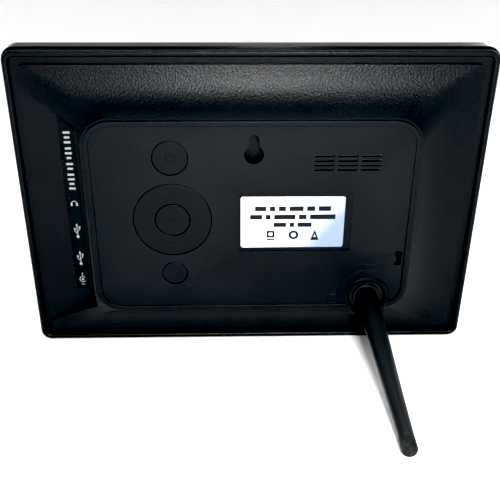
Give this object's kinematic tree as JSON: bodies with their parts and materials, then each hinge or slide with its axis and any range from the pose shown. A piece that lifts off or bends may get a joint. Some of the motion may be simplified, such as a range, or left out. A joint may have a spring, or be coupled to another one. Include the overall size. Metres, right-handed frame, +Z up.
{
  "type": "digital photo frame",
  "caption": "Tabletop digital photo frame with a display, back keys, side sockets, a keyhole and a screw-in leg on a swivelling hub.",
  "frame": {"origin": "on the ground under the centre of the standing frame's bounding box", "axes": "+X along the frame towards its port side, +Y backwards towards the leg, +Z up; the screen faces -Y"},
  "size_m": [0.2076, 0.1246, 0.1415],
  "materials": {
    "bezel_gloss": "polished black moulding",
    "window_acrylic": "clear acrylic pane with a dark printed border",
    "cover_plastic": "fine spark-eroded grain, charcoal black",
    "strip_gloss": "printed gloss film",
    "label_film": "white polyester label, slight sheen",
    "steel": "plated sheet steel",
    "cell_glass": "dark display cell",
    "light_guide_acrylic": "clear acrylic",
    "ribbon_film": "polyimide film",
    "connector_plastic": "glass-filled nylon",
    "board_green": "solder-masked laminate",
    "chip_epoxy": "moulded epoxy",
    "capacitor_can": "drawn cans",
    "plated_metal": "nickel plate",
    "key_plastic": "fine grain, a shade smoother than the cover",
    "cone_paper": "pressed paper",
    "lead_vinyl": "vinyl insulation",
    "hub_plastic": "satin",
    "insert_brass": "knurled insert",
    "leg_plastic": "satin black",
    "tip_rubber": "moulded rubber"
  },
  "bodies": {
    "case": {"bezel_feet": "tip_rubber", "board_screws": "steel", "card_slot": "steel", "dc_jack": "connector_plastic", "dc_jack_pin": "plated_metal", "display_ribbon": "ribbon_film", "filter_capacitors": "capacitor_can", "front_bezel": "bezel_gloss", "headphone_jack": "connector_plastic", "key_board": "board_green", "key_board_screws": "steel", "key_header": "connector_plastic", "key_switches": "connector_plastic", "lcd_cell": "cell_glass", "lcd_front_frame": "steel", "lcd_rear_tray": "steel", "lcd_screws": "steel", "lcd_washers": "steel", "light_guide": "light_guide_acrylic", "lock_slot_plate": "steel", "main_board": "board_green", "main_chip": "chip_epoxy", "memory_chips": "chip_epoxy", "port_label_strip": "strip_gloss", "power_inductor": "chip_epoxy", "rating_label": "label_film", "rear_cover": "cover_plastic", "ribbon_connector": "connector_plastic", "ring_plungers": "connector_plastic", "screen_window": "window_acrylic", "speaker_basket": "steel", "speaker_cone": "cone_paper", "speaker_lead": "lead_vinyl", "speaker_magnet": "plated_metal", "usb_device_insert": "connector_plastic", "usb_device_shell": "steel", "usb_host_insert": "connector_plastic", "usb_host_shell": "steel"},
    "power_key": {"power_button": "key_plastic", "power_plunger": "connector_plastic"},
    "ok_key": {"ok_button": "key_plastic", "ok_plunger": "connector_plastic"},
    "return_key": {"return_button": "key_plastic", "return_plunger": "connector_plastic"},
    "ring_carrier": {"ring_web": "key_plastic"},
    "direction_keys": {"direction_ring": "key_plastic"},
    "stand": {"swivel_hub": "hub_plastic", "swivel_washer": "steel", "swivel_screw": "steel", "stand_stud": "steel", "leg_insert": "insert_brass", "stand_leg": "leg_plastic", "leg_tip": "tip_rubber"}
  },
  "joints": [
    {"name": "power_press", "type": "slide", "parent": "case", "child": "power_key", "axis": [0, -0.9772, 0.2123], "range_m": [0, 0.0005], "stiffness_N_per_m": 3000},
    {"name": "ok_press", "type": "slide", "parent": "case", "child": "ok_key", "axis": [0, -0.9772, 0.2123], "range_m": [0, 0.0005], "stiffness_N_per_m": 3000},
    {"name": "return_press", "type": "slide", "parent": "case", "child": "return_key", "axis": [0, -0.9772, 0.2123], "range_m": [0, 0.0005], "stiffness_N_per_m": 3000},
    {"name": "ring_tilt_vertical", "type": "hinge", "parent": "case", "child": "ring_carrier", "pos_m": [0.035, -0.02849, 0.06722], "axis": [1, 0, 0], "range_deg": [-1.3, 1.3], "stiffness_Nm_per_rad": 0.9},
    {"name": "ring_tilt_sideways", "type": "hinge", "parent": "ring_carrier", "child": "direction_keys", "pos_m": [0.035, -0.02849, 0.06722], "axis": [0, 0.2123, 0.9772], "range_deg": [-1.3, 1.3], "stiffness_Nm_per_rad": 0.9},
    {"name": "stand_swivel", "type": "hinge", "parent": "case", "child": "stand", "pos_m": [-0.0534, -0.03534, 0.02747], "axis": [0, 0.9772, -0.2123], "range_deg": [0, 90]}
  ]
}
